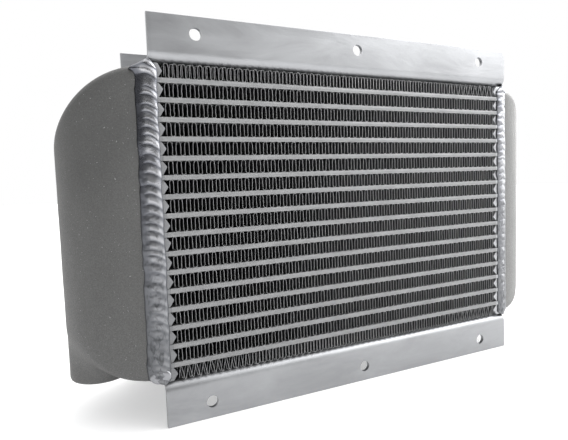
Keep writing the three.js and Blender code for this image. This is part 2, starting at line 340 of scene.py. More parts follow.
# Lit and shaded copies of one casting: the left tank painted darker as shade, the right one paler as
# painted light.
LEFT_TANK_METAL = casting_material("blasted_tank", 0.93)
RIGHT_TANK_METAL = casting_material("blasted_tank_painted_lit", 1.35)
WELD_METAL = weld_material("weld_metal", 1.0)
DULL_WELD_METAL = weld_material("dull_weld_metal", 0.55)
PORT_METAL = machined_material()


# ---- Mesh helpers ----

def in_scene(name, data):
    """A new object with this data."""
    thing = bpy.data.objects.new(name, data)
    bpy.context.scene.collection.objects.link(thing)
    return thing


def mesh_from(name, points, faces):
    """A mesh from points in millimetres."""
    mesh = bpy.data.meshes.new(name)
    mesh.from_pydata((np.asarray(points) * MM).tolist(), [], faces)
    return mesh


def make_piece(name, points, faces, material, node, smooth_angle):
    piece = in_scene(name, mesh_from(name, points, faces))
    piece.data.materials.append(material)
    finish_piece(piece, node, smooth_angle)
    fixed_outward(piece)
    return piece


def finish_piece(piece, node, smooth_angle):
    """The piece is smooth up to an angle in degrees, rides on the root and stands for the node."""
    piece.data.shade_smooth()
    piece.data.set_sharp_from_angle(angle=math.radians(smooth_angle))
    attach(piece, "root")
    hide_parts(node)


def dress(thing, material):
    """Makes this the only material."""
    thing.data.materials.clear()
    thing.data.materials.append(material)


def paint(piece, name, values):
    """A value for each vertex, for a material to read."""
    layer = piece.data.attributes.new(name, "FLOAT", "POINT")
    layer.data.foreach_set("value", np.asarray(values, np.float32))


def tube_faces(stations, around, first=0, closed=False):
    """Quads of a tube whose sections are closed loops. Its ends meet, or else each has a cap: the
    last two faces."""
    faces = []
    for i in range(stations if closed else stations - 1):
        a = first + i * around
        b = first + (i + 1) % stations * around
        for j in range(around):
            k = (j + 1) % around
            faces.append((a + j, a + k, b + k, b + j))
    if not closed:
        last = first + (stations - 1) * around
        faces.append(tuple(first + j for j in reversed(range(around))))
        faces.append(tuple(last + j for j in range(around)))
    return faces


def fixed_outward(piece):
    """Turns all faces outwards."""
    work = bmesh.new()
    work.from_mesh(piece.data)
    bmesh.ops.recalc_face_normals(work, faces=work.faces)
    work.to_mesh(piece.data)
    work.free()


def new_solid(name, points, faces):
    solid = in_scene(name, mesh_from(name, points, faces))
    fixed_outward(solid)
    return solid


def apply_modifiers(thing):
    bpy.context.view_layer.update()
    graph = bpy.context.evaluated_depsgraph_get()
    done = bpy.data.meshes.new_from_object(thing.evaluated_get(graph))
    old = thing.data
    thing.modifiers.clear()
    thing.data = done
    bpy.data.meshes.remove(old)


def cut_or_join(thing, other, operation):
    """DIFFERENCE or UNION with another solid, which is used up."""
    modifier = thing.modifiers.new("cut", "BOOLEAN")
    modifier.object = other
    modifier.operation = operation
    modifier.solver = "EXACT"
    apply_modifiers(thing)
    bpy.data.objects.remove(other)


def cylinder(name, centre, radius, z0, z1, sides):
    angles = np.linspace(0, 2 * math.pi, sides, endpoint=False)
    ring = np.stack([centre[0] + radius * np.cos(angles), centre[1] + radius * np.sin(angles)], 1)
    points = [(x, y, z) for z in (z0, z1) for x, y in ring]
    return new_solid(name, points, tube_faces(2, sides))


# ---- Air fins ----

FIN_LEGS = 112
WIDE_FIN_LEGS = 105     # the strips of the upper rows are folded a little wider
WIDE_ROWS = 6
FIN_THICKNESS = 0.16
FIN_INSET = 0.25        # clearance at both ends of a row
FIN_CREST = 1.3         # height of the rounded folds
LEG_POINTS = 7
CREST_POINTS = 3
LIT_BAND_DEPTH = 0.75             # depth of the band behind a sheared edge painted with the edge's bright metal: a painted highlight
CUT_DEPTH = 6.0         # depth of each offset strip at the front and at the back
OUTER_ROW_CUT = 1.6     # the same for the first strip of the top and bottom rows
CUT_GAP = 0.02
LEG_SHIFT = 0.48        # how far the strip behind is offset, in leg spacings
CUP_WIDTH = 0.03        # how much wider the cups open at the bottom are, in leg spacings
LEG_JITTER = 0.04

LEAN = 0.06             # slant of the legs, over their height
LEAN_SPREAD = 0.05
END_LEAN = 1.5          # more slant near the ends of the outer rows
RIGHT_LEAN_FROM, RIGHT_LEAN_OVER = 0.78, 0.08   # as shares of the row
LEFT_LEAN_FROM, LEFT_LEAN_OVER = 0.2, 0.1

BOW = 0.05              # bend of a leg, and how much of it is random
BOW_SPREAD = 0.3
CUP_BOW = 0.22          # more bend at the left of the upper rows, and how fast it fades
CUP_BOW_FADE = 2.2
KINK = 0.05             # s-bend of a leg
# Alternate legs painted lighter and darker: painted light and shade of legs that face the light
# differently.
LIT_AND_SHADED_LEG_TONES = (0.44, 0.56)
CREST_TONE = 0.6
TONE_SPREAD = 0.14


def fin_tilt(row, share, rng):
    """Slant of the legs, in millimetres over their height: strong near the ends of the outer rows."""
    tilt = LEAN + LEAN_SPREAD * rng.standard_normal()
    near_right = np.clip((share - RIGHT_LEAN_FROM) / RIGHT_LEAN_OVER, 0, 1)
    near_left = np.clip((LEFT_LEAN_FROM - share) / LEFT_LEAN_OVER, 0, 1)
    if row == 0:
        tilt += END_LEAN * near_right
    if row == AIR_ROWS - 1:
        tilt += END_LEAN * max(near_right, near_left)
    return tilt


def leg_count(row):
    return WIDE_FIN_LEGS if row < WIDE_ROWS else FIN_LEGS


def fin_legs(row, x0, x1, height, shift, rng):
    """Each leg of a folded strip as its x and z values, from its foot up."""
    count = leg_count(row)
    spacing = (x1 - x0) / (count - 1)
    low = FIN_THICKNESS / 2
    high = height - FIN_THICKNESS / 2
    along = np.linspace(0, 1, LEG_POINTS)
    legs = []
    for k in range(count):
        up = 1 if k % 2 == 0 else -1
        share = k / count
        x = x0 + k * spacing + up * CUP_WIDTH * spacing / 2 + LEG_JITTER * rng.standard_normal()
        tilt = up * fin_tilt(row, share, rng)
        cup = CUP_BOW * max(0.0, 1 - CUP_BOW_FADE * share) if row < WIDE_ROWS else 0.0
        bow = -up * (BOW + cup) * (1 + BOW_SPREAD * rng.standard_normal())
        kink = KINK * rng.standard_normal()
        v = low + FIN_CREST + (high - low - 2 * FIN_CREST) * along
        u = x + tilt * (along - 0.5) + bow * np.sin(math.pi * along)
        u += kink * np.sin(2 * math.pi * along)
        legs.append((np.clip(u + shift, x0, x1), v))
    return legs


def fin_line(legs, rng):
    """Centre line of the strip that folds up and down its legs, with a shade for each point."""
    points = []
    shades = []
    for k, (u, v) in enumerate(legs):
        rising = k % 2 == 0
        order = slice(None) if rising else slice(None, None, -1)
        points.extend(zip(u[order], v[order]))
        # Painted light or shade by the leg's turn, with a random spread.
        tone = np.clip(LIT_AND_SHADED_LEG_TONES[k % 2] + TONE_SPREAD * rng.standard_normal(), 0, 1)
        shades.extend([tone] * LEG_POINTS)
        if k + 1 == len(legs):
            break
        end = -1 if rising else 0
        left, right = u[end], legs[k + 1][0][end]
        crest = FIN_CREST if rising else -FIN_CREST
        for step in range(1, CREST_POINTS + 1):
            angle = math.pi * step / (CREST_POINTS + 1)
            across = (left + right) / 2 - (right - left) / 2 * math.cos(angle)
            points.append((across, v[end] + crest * math.sin(angle)))
            shades.append(CREST_TONE)
    return np.array(points), np.array(shades)


def fin_strip(line, y0, y1, z):
    """Points and faces of a folded strip, closed, between two depths. The faces of its sheared
    front edge and of the painted highlight band behind it come first, four for each step of the line."""
    ahead = np.gradient(line, axis=0)
    ahead /= np.linalg.norm(ahead, axis=1)[:, None] + 1e-9
    out = np.stack([-ahead[:, 1], ahead[:, 0]], 1) * FIN_THICKNESS / 2
    count = len(line)
    points = []
    for y in (y0, y0 + LIT_BAND_DEPTH, y1):
        for side in (line + out, line - out):
            points.append(np.stack([side[:, 0], np.full(count, y), side[:, 1] + z], 1))
    a, b, c, d, e, f = (np.arange(count - 1) + k * count for k in range(6))
    faces = [
        np.stack([a, b, b + 1, a + 1], 1),
        np.stack([e + 1, f + 1, f, e], 1),
        np.stack([a + 1, c + 1, c, a], 1),
        np.stack([b, d, d + 1, b + 1], 1),
        np.stack([c + 1, e + 1, e, c], 1),
        np.stack([d, f, f + 1, d + 1], 1),
    ]
    for ring in (0, 2 * count):
        first_end = np.array([0, 2 * count, 3 * count, count]) + ring
        faces += [first_end[None], first_end[None, ::-1] + count - 1]
    return np.concatenate(points), np.concatenate(faces)


def strip_cuts(row, front, rear):
    """Depths at which a row's strips begin and end."""
    first = OUTER_ROW_CUT if row in (0, AIR_ROWS - 1) else CUT_DEPTH
    return [front, front + first, front + first + CUT_DEPTH, rear - first - CUT_DEPTH, rear - first, rear]


def air_fin(row):
    node = f"air_fin_{row + 1:02d}"
    low, high = box_mm(node)
    rng = np.random.RandomState(100 + row)
    x0, x1 = low[0] + FIN_INSET, high[0] - FIN_INSET
    height = high[2] - low[2]
    spacing = (x1 - x0) / (leg_count(row) - 1)
    cuts = strip_cuts(row, low[1], high[1])
    points, faces, shades, edges = [], [], [], []
    first = 0
    for strip in range(len(cuts) - 1):
        offset = strip % 2 == 1
        legs = fin_legs(row, x0, x1, height, LEG_SHIFT * spacing if offset else 0.0, rng)
        line, tones = fin_line(legs, rng)
        if offset:
            line[:, 1] = height - line[:, 1]
        strip_points, strip_faces = fin_strip(line, cuts[strip], cuts[strip + 1] - CUT_GAP, low[2])
        points.append(strip_points)
        faces.append(strip_faces + first)
        shades.append(np.tile(tones, len(strip_points) // len(tones)))
        # The sheared edge and the painted highlight band behind it take the bright edge metal.
        edges.append(np.arange(len(strip_faces)) < 4 * (len(line) - 1))
        first += len(strip_points)
    piece = make_piece(f"fin_{row + 1:02d}", np.concatenate(points), np.concatenate(faces).tolist(),
                       FIN_METAL, node, 50.0)
    piece.data.materials.append(CUT_EDGE_AND_LIT_BAND)
    piece.data.polygons.foreach_set("material_index", np.concatenate(edges).astype(np.int32))
    paint(piece, "leg_shade", np.concatenate(shades))


# ---- Oil passages ----

PASSAGE_STATIONS = 111
BAR_ROUND = 0.12        # rounding along the edges
BAR_SEAM = 0.08         # depth of the seam between a bar and a sheet
BAR_BACK = 0.02         # how far the bar stands behind the sheets' edges
EDGE_WAVE = 0.09        # how uneven the front and the rear are


def passage_loops(depth, height):
    """Outer and inner outline of a layer in y and z. The front half of the outer one comes first."""
    r, seam = BAR_ROUND, BAR_SEAM
    face = [(0.0, r), (r, 0.0), (SHEET - r, 0.0), (SHEET, seam),
            (SHEET + r, BAR_BACK), (height - SHEET - r, BAR_BACK), (height - SHEET, seam),
            (height - SHEET + r, 0.0), (height - r, 0.0), (height, r)]
    front = [(-depth + back, z) for z, back in face]
    rear = [(-y, z) for y, z in reversed(front)]
    y = depth - LONG_BAR
    return front + rear, [(-y, SHEET), (-y, height - SHEET), (y, height - SHEET), (y, SHEET)]


def oil_passage(layer):
    """A flat tube: bar and sheet edges are slightly uneven, with a fine seam between them."""
    node = f"oil_passage_{layer + 1:02d}"
    low, high = box_mm(node)
    rng = np.random.RandomState(300 + layer)
    outer, inner = map(np.array, passage_loops(high[1], high[2] - low[2]))
    stations = np.linspace(low[0], high[0], PASSAGE_STATIONS)
    waves = noise_rows(len(stations), len(outer), rng)
    points = []
    for loop, rows in ((outer, waves), (inner, np.zeros((len(stations), len(inner))))):
        for x, wave in zip(stations, rows):
            y = loop[:, 0] + np.sign(-loop[:, 0]) * wave * EDGE_WAVE
            points.append(np.column_stack([np.full(len(loop), x), y, loop[:, 1] + low[2]]))
    count, n_out, n_in = len(stations), len(outer), len(inner)
    shift = count * n_out
    faces = tube_faces(count, n_out)[:-2]
    faces += [face[::-1] for face in tube_faces(count, n_in, shift)[:-2]]
    faces += passage_ends(count, n_out, n_in, shift)
    make_piece(f"passage_{layer + 1:02d}", np.concatenate(points), faces,
               BAR_METAL, node, 40.0)


def noise_rows(rows, columns, rng):
    """Smooth random values from 0 to 1 along the rows, a little different from column to column."""
    base = np.abs(rng.standard_normal((rows, 1))) + 0.5 * np.abs(rng.standard_normal((rows, columns)))
    smooth = (base + np.roll(base, 1, 0) + np.roll(base, -1, 0)) / 3
    return np.clip(smooth / 1.6, 0, 1)


def passage_ends(count, n_out, n_in, shift):
    """Ring faces that close the tube's metal at both ends."""
    half = n_out // 2
    faces = []
    for i, start in ((0, 0), (count - 1, (count - 1) * n_out)):
        inner = shift + i * n_in
        front = [start + j for j in range(half)]
        rear = [start + half + j for j in range(half)]
        faces.append(tuple(front + [inner + 1, inner]))
        faces.append(tuple(rear + [inner + 3, inner + 2]))
        faces.append((front[-1], rear[0], inner + 2, inner + 1))
        faces.append((rear[-1], front[0], inner, inner + 3))
    return faces


# ---- End bars ----

def bar_reach(side):
    """How far the bars of one end reach in, to the shoulder and to the point."""
    pick = 0 if side < 0 else 1
    return HALF_LENGTH - abs(LAYER_ENDS[pick]), HALF_LENGTH - abs(FIN_ENDS[pick]) - FIN_END_GAP


SLOPE_STARTS = 0.9      # how far before the shoulder a short bar begins to narrow
TIP_SPREAD = 0.3        # unevenness of the points
TIP_HEIGHT = 0.5        # as a share of the row, and its spread
TIP_HEIGHT_SPREAD = 0.04
FACE_BACK = 0.5         # how far the short bars' faces stand back, and its spread
FACE_SPREAD = 0.35
BAR_CLEARANCE = 0.02
BAR_BEVEL = 0.3


def row_box(name, index):
    """Lower and upper edge of one row of the core."""
    low, high = box_mm(f"{name}_{index + 1:02d}")
    return low[2], high[2]


def pointed_bars(work, side, front, rear, rng):
    """The short bar at the end of each air row."""
    shoulder, point = bar_reach(side)
    slope = shoulder - SLOPE_STARTS
    bottom, top = row_box("air_fin", 0)
    height = top - bottom
    for row in range(AIR_ROWS):
        bottom, _ = row_box("air_fin", row)
        tip = point - TIP_SPREAD * rng.rand()
        lift = TIP_HEIGHT + TIP_HEIGHT_SPREAD * rng.standard_normal()
        shape = [(0.0, BAR_CLEARANCE), (slope, BAR_CLEARANCE), (tip, lift * height),
                 (slope, height - BAR_CLEARANCE), (0.0, height - BAR_CLEARANCE)]
        face = front + FACE_BACK + FACE_SPREAD * rng.rand()
        add_prism(work, [(side * (HALF_LENGTH - u), bottom + v) for u, v in shape], face, rear)


def long_bar_ends(work, side, front, rear):
    """The ends of the long bars between the short ones, at the front and at the rear."""
    shoulder, _ = bar_reach(side)
    for layer in range(OIL_LAYERS):
        bottom, top = row_box("oil_passage", layer)
        corners = ((0, bottom), (shoulder, bottom), (shoulder, top), (0, top))
        shape = [(side * (HALF_LENGTH - u), v) for u, v in corners]
        add_prism(work, shape, front, front + LONG_BAR)
        add_prism(work, shape, rear - LONG_BAR, rear)


def end_bars(side, node):
    """Pointed bars with rounded edges, tied at the corners by the ends of the long bars."""
    low, high = box_mm(node)
    work = bmesh.new()
    pointed_bars(work, side, low[1], high[1], np.random.RandomState(500 + side))
    long_bar_ends(work, side, low[1], high[1])
    bmesh.ops.recalc_face_normals(work, faces=work.faces)
    bmesh.ops.bevel(work, geom=work.edges[:], offset=BAR_BEVEL * MM, segments=2, profile=0.6,
                    affect="EDGES")
    mesh = bpy.data.meshes.new(node + "_bevelled")
    work.to_mesh(mesh)
    work.free()
    # The right end takes the paler copy, a painted reflection.
    mesh.materials.append(LEFT_END_METAL if side < 0 else RIGHT_END_METAL)
    finish_piece(in_scene(mesh.name, mesh), node, 40.0)


def add_prism(work, shape, y0, y1):
    """Adds a closed prism along Y from an outline in x and z, in millimetres."""
    rings = [[work.verts.new((x * MM, y * MM, z * MM)) for x, z in shape] for y in (y0, y1)]
    count = len(shape)
    work.faces.new(rings[0])
    work.faces.new(list(reversed(rings[1])))
    for j in range(count):
        k = (j + 1) % count
        work.faces.new((rings[0][k], rings[0][j], rings[1][j], rings[1][k]))


# ---- Side channels ----

SOFT_EDGE = 0.35
SHEARED_END = 0.18 / 400    # share by which the section shrinks at the sheared ends
FLAT_STATIONS = 40


def bend(y, z, radius, start, stop):
    """Points of an arc round y, z, from one angle to another."""
    angles = np.radians(np.linspace(start, stop, 10))
    return [(y + radius * math.cos(a), z + radius * math.sin(a)) for a in angles]


def channel_section(height):
    """Closed outline in y and z, with the web at z = 0 and the flanges up."""
    r = BEND_RADIUS
    y = HALF_DEPTH - r
    inner = r - CHANNEL_SHEET
    soft = SOFT_EDGE
    return [
        *bend(-y, r, r, 180, 270), *bend(y, r, r, 270, 360),
        (HALF_DEPTH, height - soft), (HALF_DEPTH - soft, height),
        (HALF_DEPTH - CHANNEL_SHEET + soft, height), (HALF_DEPTH - CHANNEL_SHEET, height - soft),
        *bend(y, r, inner, 0, -90), *bend(-y, r, inner, 270, 180),
        (CHANNEL_SHEET - HALF_DEPTH, height - soft), (CHANNEL_SHEET - HALF_DEPTH - soft, height),
        (soft - HALF_DEPTH, height), (-HALF_DEPTH, height - soft),
    ]


def side_channel(name, node, up):
    low, high = box_mm(node)
    section = np.array(channel_section(high[2] - low[2]))
    y = section[:, 0]
    z = low[2] + section[:, 1] if up else high[2] - section[:, 1]
    middle = (z.max() + z.min()) / 2
    flat = np.linspace(low[0] + 4, high[0] - 4, FLAT_STATIONS)
    stations = [low[0], low[0] + 0.3, *flat, high[0] - 0.3, high[0]]
    points = []
    for x in stations:
        shrink = SHEARED_END if x in (low[0], high[0]) else 0.0
        points.append(np.column_stack([np.full(len(z), x), y * (1 - shrink), z + (middle - z) * shrink]))
    piece = new_solid(name, np.concatenate(points), tube_faces(len(stations), len(z)))
    drill_bolt_holes(piece, high[2] - BOLT_EDGE if up else low[2] + BOLT_EDGE)
    dress(piece, SHEET_METAL[name])
    finish_piece(piece, node, 30.0)


def drill_bolt_holes(piece, height):
    for x in (-BOLT_SPACING, 0.0, BOLT_SPACING):
        drill = cylinder("drill", (x, 0), BOLT_RADIUS, -HALF_DEPTH - 5, HALF_DEPTH + 5, 48)
        drill.data.transform(Euler((math.pi / 2, 0, 0)).to_matrix().to_4x4())
        drill.data.transform(Matrix.Translation((0, 0, height * MM)))
        cut_or_join(piece, drill, "DIFFERENCE")


# ---- Tanks ----

CASTING_SKIN = 0.03     # room for the casting's unevenness inside the CAD box
CORE_OVERRUN = 3.0
BOSS_ROUND = 2.2
BOSS_TOP = 44.0         # height inside the tank where the boss ends, over the core's bottom
TANK_VOXEL = 1.3
TOP_AND_BOTTOM_FILLETS = ((8.0, 5.5), (3.5, 3.0))
CAVITY_FILLETS = ((4.0, 4.0), (4.0, 4.0))


def tank_section(share, inset, bottom_corner, fillets):
    """Rounded rectangle in y and z at a share of the reach: share 1 at the core, 0 at the far side.
    Each fillet is a quarter ellipse: its width in y and its height in z."""
    half = (TANK_HALF_DEPTH - inset) * share
    bottom = CORE_BOTTOM + bottom_corner - (bottom_corner - inset) * share
    top = CORE_TOP - TANK_CORNER + (TANK_CORNER - inset) * share
    loop = []
    for corner in range(4):
        width, height = fillets[0] if corner < 2 else fillets[1]
        width = min(width, half * 0.98)
        y = (half - width) * (1 if corner in (0, 3) else -1)
        z = top - height if corner < 2 else bottom + height
        for turn in np.radians(np.linspace(90 * corner, 90 * corner + 90, 8)):
            loop.append((y + width * math.cos(turn), z + height * math.sin(turn)))
    return loop


def tank_loft(name, side, inset, bottom_corner, fillets):
    """A solid of the tank's shape, drawn in by an inset. It begins a little inside the core."""
    angles = np.radians(np.concatenate([np.linspace(0, 80, 40), np.linspace(82, 89.2, 8)]))
    reach = TANK_REACH - inset
    points = []
    for i, angle in enumerate(angles):
        u = reach * math.sin(angle)
        if i == 0:
            u = -CORE_OVERRUN
        loop = tank_section(math.cos(angle), inset, bottom_corner, fillets)
        points += [(side * (HALF_LENGTH + u), y, z) for y, z in loop]
    return new_solid(name, points, tube_faces(len(angles), len(points) // len(angles)))


def port_x(side):
    return side * (HALF_LENGTH + PORT_REACH)


def port_boss(side):
    """Solid boss with a rounded lower edge."""
    profile = [(0.0, PORT_RADIUS - BOSS_ROUND)]
    for turn in np.radians((20, 45, 70, 90)):
        profile.append((BOSS_ROUND - BOSS_ROUND * math.cos(turn),
                        PORT_RADIUS - BOSS_ROUND + BOSS_ROUND * math.sin(turn)))
    profile.append((CORE_BOTTOM + BOSS_TOP - PORT_END, PORT_RADIUS))
    angles = np.linspace(0, 2 * math.pi, 96, endpoint=False)
    points = []
    for rise, radius in profile:
        for a in angles:
            x, y = port_x(side) + radius * math.cos(a), radius * math.sin(a)
            points.append((x, y, PORT_END + rise))
    return new_solid("boss", points, tube_faces(len(profile), len(angles)))


def relaxed(mesh, rounds, weight):
    """Moves each vertex towards the mean of its neighbours, by a weight between 0 and 1."""
    co = read_points(mesh)
    count = len(co)
    edges = np.zeros(len(mesh.edges) * 2, int)
    mesh.edges.foreach_get("vertices", edges)
    a, b = edges.reshape(-1, 2).T
    degree = np.bincount(a, minlength=count) + np.bincount(b, minlength=count)
    share = weight(co / MM)[:, None]
    for _ in range(rounds):
        total = np.zeros_like(co)
        for axis in range(3):
            total[:, axis] = np.bincount(a, co[b, axis], count) + np.bincount(b, co[a, axis], count)
        co += share * (total / degree[:, None] - co)
    write_points(mesh, co)


def off_rim(points):
    """1 all over the tank, 0 at its rim on the core and at the boss's face."""
    flat = np.clip((points[:, 2] - PORT_END - 5) / 3.0, 0, 1)
    return flat * np.clip((np.abs(points[:, 0]) - HALF_LENGTH - 1.5) / 2.0, 0, 1)


def near_boss(points):
    """1 where the boss runs into the tank, 0 away from there and on the outermost line of the tank."""
    away = np.hypot(np.abs(points[:, 0]) - HALF_LENGTH - PORT_REACH, points[:, 1])
    ring = np.exp(-((away - PORT_RADIUS - 2.0) / 11.0) ** 2)
    height = np.exp(-((points[:, 2] - CORE_BOTTOM - 12) / 16.0) ** 2)
    outer = np.clip((np.abs(points[:, 0]) - HALF_LENGTH - PORT_REACH) / 6.0, 0, 1)
    kept = outer * np.clip((14.0 - np.abs(points[:, 1])) / 8.0, 0, 1)
    return np.clip(1.4 * ring * height, 0, 1) * off_rim(points) * (1 - kept)


def end_tank(side, node, bottom_corner):
    """A casting: tank and boss melted together, hollow, with a bore up through the boss."""
    low, high = box_mm(node)
    tank = tank_loft(f"{node}_cast", side, CASTING_SKIN, bottom_corner, TOP_AND_BOTTOM_FILLETS)
    cut_or_join(tank, port_boss(side), "UNION")
    cavity = tank_loft("cavity", side, TANK_WALL, bottom_corner, CAVITY_FILLETS)
    cut_or_join(tank, cavity, "DIFFERENCE")
    remesh = tank.modifiers.new("remesh", "REMESH")
    remesh.mode = "VOXEL"
    remesh.voxel_size = TANK_VOXEL * MM
    apply_modifiers(tank)
    relaxed(tank.data, 12, lambda points: 0.3 * off_rim(points))
    relaxed(tank.data, 110, near_boss)
    settle_casting(tank.data)
    bore = cylinder("bore", (port_x(side), 0), PORT_BORE, PORT_END - 3, PORT_END + 50, 96)
    cut_or_join(tank, bore, "DIFFERENCE")
    clip_to_box(tank.data, low, high)
    # Height share for the painted shade that darkens the tank higher up.
    paint(tank, "rise", (read_points(tank.data)[:, 2] / MM - CORE_BOTTOM) / (CORE_TOP - CORE_BOTTOM))
    dress(tank, LEFT_TANK_METAL if side < 0 else RIGHT_TANK_METAL)
    finish_piece(tank, node, 40.0)
    port_thread(side, node)


def settle_casting(mesh):
    """Shallow unevenness of a casting: broad swells and fine ones, and never out of the CAD box."""
    co = read_points(mesh)
    normals = np.zeros(len(mesh.vertices) * 3)
    mesh.vertex_normals.foreach_get("vector", normals)
    swell = np.array([0.12 * noise.noise(place * 0.045) + 0.03 * noise.noise(place * 0.35)
                      for place in map(Vector, co / MM)])
    write_points(mesh, co + normals.reshape(-1, 3) * (swell - CASTING_SKIN)[:, None] * MM)


def read_points(mesh):
    co = np.zeros(len(mesh.vertices) * 3)
    mesh.vertices.foreach_get("co", co)
    return co.reshape(-1, 3)


def write_points(mesh, co):
    mesh.vertices.foreach_set("co", co.ravel())
    mesh.update()


def clip_to_box(mesh, low, high):
    write_points(mesh, np.clip(read_points(mesh), low * MM, high * MM))


THREAD_PITCH = 1.8
THREAD_DEPTH = 0.9
THREAD_TURNS = 9
THREAD_BORE = PORT_BORE - 1.1
THREAD_START = PORT_END + 1.6
MOUTH_RING = PORT_BORE + 5.2
MOUTH_RING_TOP = PORT_END + 0.9


def thread_profile():
    """Closed outline in radius and height: mouth ring, chamfer, grooves, and back down the wall."""
    wall = PORT_BORE + 0.6
    profile = [(MOUTH_RING, MOUTH_RING_TOP), (MOUTH_RING, PORT_END + 0.02),
               (PORT_BORE + 1.0, PORT_END + 0.02), (PORT_BORE - 0.2, PORT_END + 1.2)]
    for turn in range(THREAD_TURNS):
        z = THREAD_START + turn * THREAD_PITCH
        profile += [(THREAD_BORE, z), (THREAD_BORE + THREAD_DEPTH, z + THREAD_PITCH / 2)]
    top = THREAD_START + THREAD_TURNS * THREAD_PITCH
    return profile + [(THREAD_BORE, top), (wall, top), (wall, MOUTH_RING_TOP)]


def port_thread(side, node):
    """A threaded liner inside the port, with plain grooves for the thread."""
    profile = thread_profile()
    angles = np.linspace(0, 2 * math.pi, 72, endpoint=False)
    centre = port_x(side)
    points = [(centre + r * math.cos(a), r * math.sin(a), z) for a in angles for r, z in profile]
    faces = tube_faces(len(angles), len(profile), closed=True)
    make_piece(f"{node}_thread", points, faces, PORT_METAL, node, 25.0)


# ---- Welds ----

RIPPLE = 6.6            # mean step of the ripples along a bead, and its spread
RIPPLE_SPREAD = 0.2
TANK_TOE, CORE_TOE = 0.045, 0.03    # width of the painted crevice shade along each foot, as shares of the bead
SUNK = 0.6              # share of a ripple's height below the bead's own surface


def stacked(phase):
    """Stacked coins: a round rise and a sharp fall in each period."""
    part = phase - np.floor(phase)
    return np.sin(math.pi * part ** 0.65) ** 0.8


def lumpy(phase):
    """A chain of round lumps."""
    return np.sin(math.pi * (phase - np.floor(phase))) ** 0.7


# Ripples of each bead: their shape, how far they lag at its core side, where they lead, how high
# the bead and its ripples stand, and how much of a ripple is left at the tank side.
LEFT_BEAD = {"shape": stacked, "lag": 5.5, "lead": 0.42, "height": 3.0, "swing": 0.85,
             "tank_side": 0.05, "metal": WELD_METAL}
RIGHT_BEAD = {"shape": lumpy, "lag": 2.2, "lead": 0.5, "height": 2.2, "swing": 1.8,
              "tank_side": 0.5, "metal": DULL_WELD_METAL}
LEVEL_BEAD = {"shape": stacked, "lag": 3.0, "lead": 0.4, "height": 2.4, "swing": 0.7,
              "tank_side": 0.5, "metal": WELD_METAL}


def bead_phase(length, rng):
    """Running count of ripples along a bead, with uneven steps."""
    steps = []
    at = 0.0
    while at < length + 4 * RIPPLE:
        steps.append(at)
        at += RIPPLE * (1 + RIPPLE_SPREAD * rng.standard_normal())
    steps = np.array(steps)
    return lambda s: np.interp(s, steps, np.arange(len(steps)))


def lump_at(spot, pitted):
    """Broad and fine unevenness of weld metal."""
    return 0.5 * noise.noise(Vector(spot) * 0.16) + pitted * noise.noise(Vector(spot) * 0.45)


def bead(name, node, path, style, rng, across=30):
    """A bead along a list of stations: each gives its foot on the tank, its foot on the core, the
    way out, where its root lies, how high it stands and how dull it is there."""
    feet_a = np.array([stop["tank"] for stop in path], float)
    feet_b = np.array([stop["core"] for stop in path], float)
    middle = (feet_a + feet_b) / 2
    along = np.concatenate([[0], np.cumsum(np.linalg.norm(np.diff(middle, axis=0), axis=1))])
    count_at = bead_phase(along[-1] + 2 * style["lag"], rng)
    shares = (1 - np.cos(np.linspace(0, math.pi, across))) / 2
    dome = np.sin(math.pi * shares ** 1.15) ** 0.7
    fade = np.clip((shares - 0.18) / 0.25, style["tank_side"], 1) * np.clip((1 - shares) / 0.06, 0, 1)
    delay = style["lag"] * ((shares - style["lead"]) / (1 - style["lead"])) ** 2
    strength = 0.55 + 0.45 * np.interp(along, np.linspace(0, along[-1], 30), rng.rand(30))
    points, crest, dull = [], [], []
    for i, stop in enumerate(path):
        coins = style["shape"](count_at(along[i] + delay + style["lag"]))
        swing = style["swing"] * strength[i] * (1 - 0.6 * stop["dull"])
        rise = stop["lift"] * dome * (style["height"] + fade * swing * (coins - SUNK))
        place = feet_a[i] + (feet_b[i] - feet_a[i]) * shares[:, None] + stop["out"] * rise[:, None]
        pitted = 0.12 + 0.3 * stop["dull"]
        lumps = np.array([lump_at(spot, pitted) for spot in place])
        place += stop["out"] * (lumps * dome * stop["lift"])[:, None]
        points += [place, np.array([feet_b[i], feet_a[i]]) + stop["root"]]
        # Painted highlight on each ripple's crest and painted shade in its valley, a little brighter
        # towards the core side.
        crest_highlight = coins * fade * strength[i] * (1 - 0.35 * stop["dull"])
        crest += [np.clip(crest_highlight + 0.1 * shares, 0, 1), np.zeros(2)]
        dull += [stop["dull"]] * (across + 2)
    piece = make_piece(name, np.concatenate(points), tube_faces(len(path), across + 2),
                       style["metal"], node, 60.0)
    clip_to_box(piece.data, *CAD_LIMITS)
    paint(piece, "crest", np.concatenate(crest))
    paint(piece, "dull", dull)
    # Painted crevice shade along both feet of the bead.
    toe_shade = np.maximum(np.exp(-(shares / TANK_TOE) ** 2), np.exp(-((1 - shares) / CORE_TOE) ** 2))
    paint(piece, "toe_shade", np.tile(np.concatenate([toe_shade, [1, 1]]), len(path)))


def tank_depth_at(reach):
    """Half depth of the tank at a reach from the core."""
    return TANK_HALF_DEPTH * math.sqrt(max(0.0, 1 - (reach / TANK_REACH) ** 2))


BEAD_STEP = 0.42
SHAKES = 46             # how often the feet wander along a bead
LEFT_WIDTHS = (10.5, 5.4)    # of a bead on the tank and on the core, at its foot
RIGHT_WIDTHS = (8.0, bar_reach(1)[0] - 0.7)
LEFT_DULL, RIGHT_DULL = 1.15, 1.4


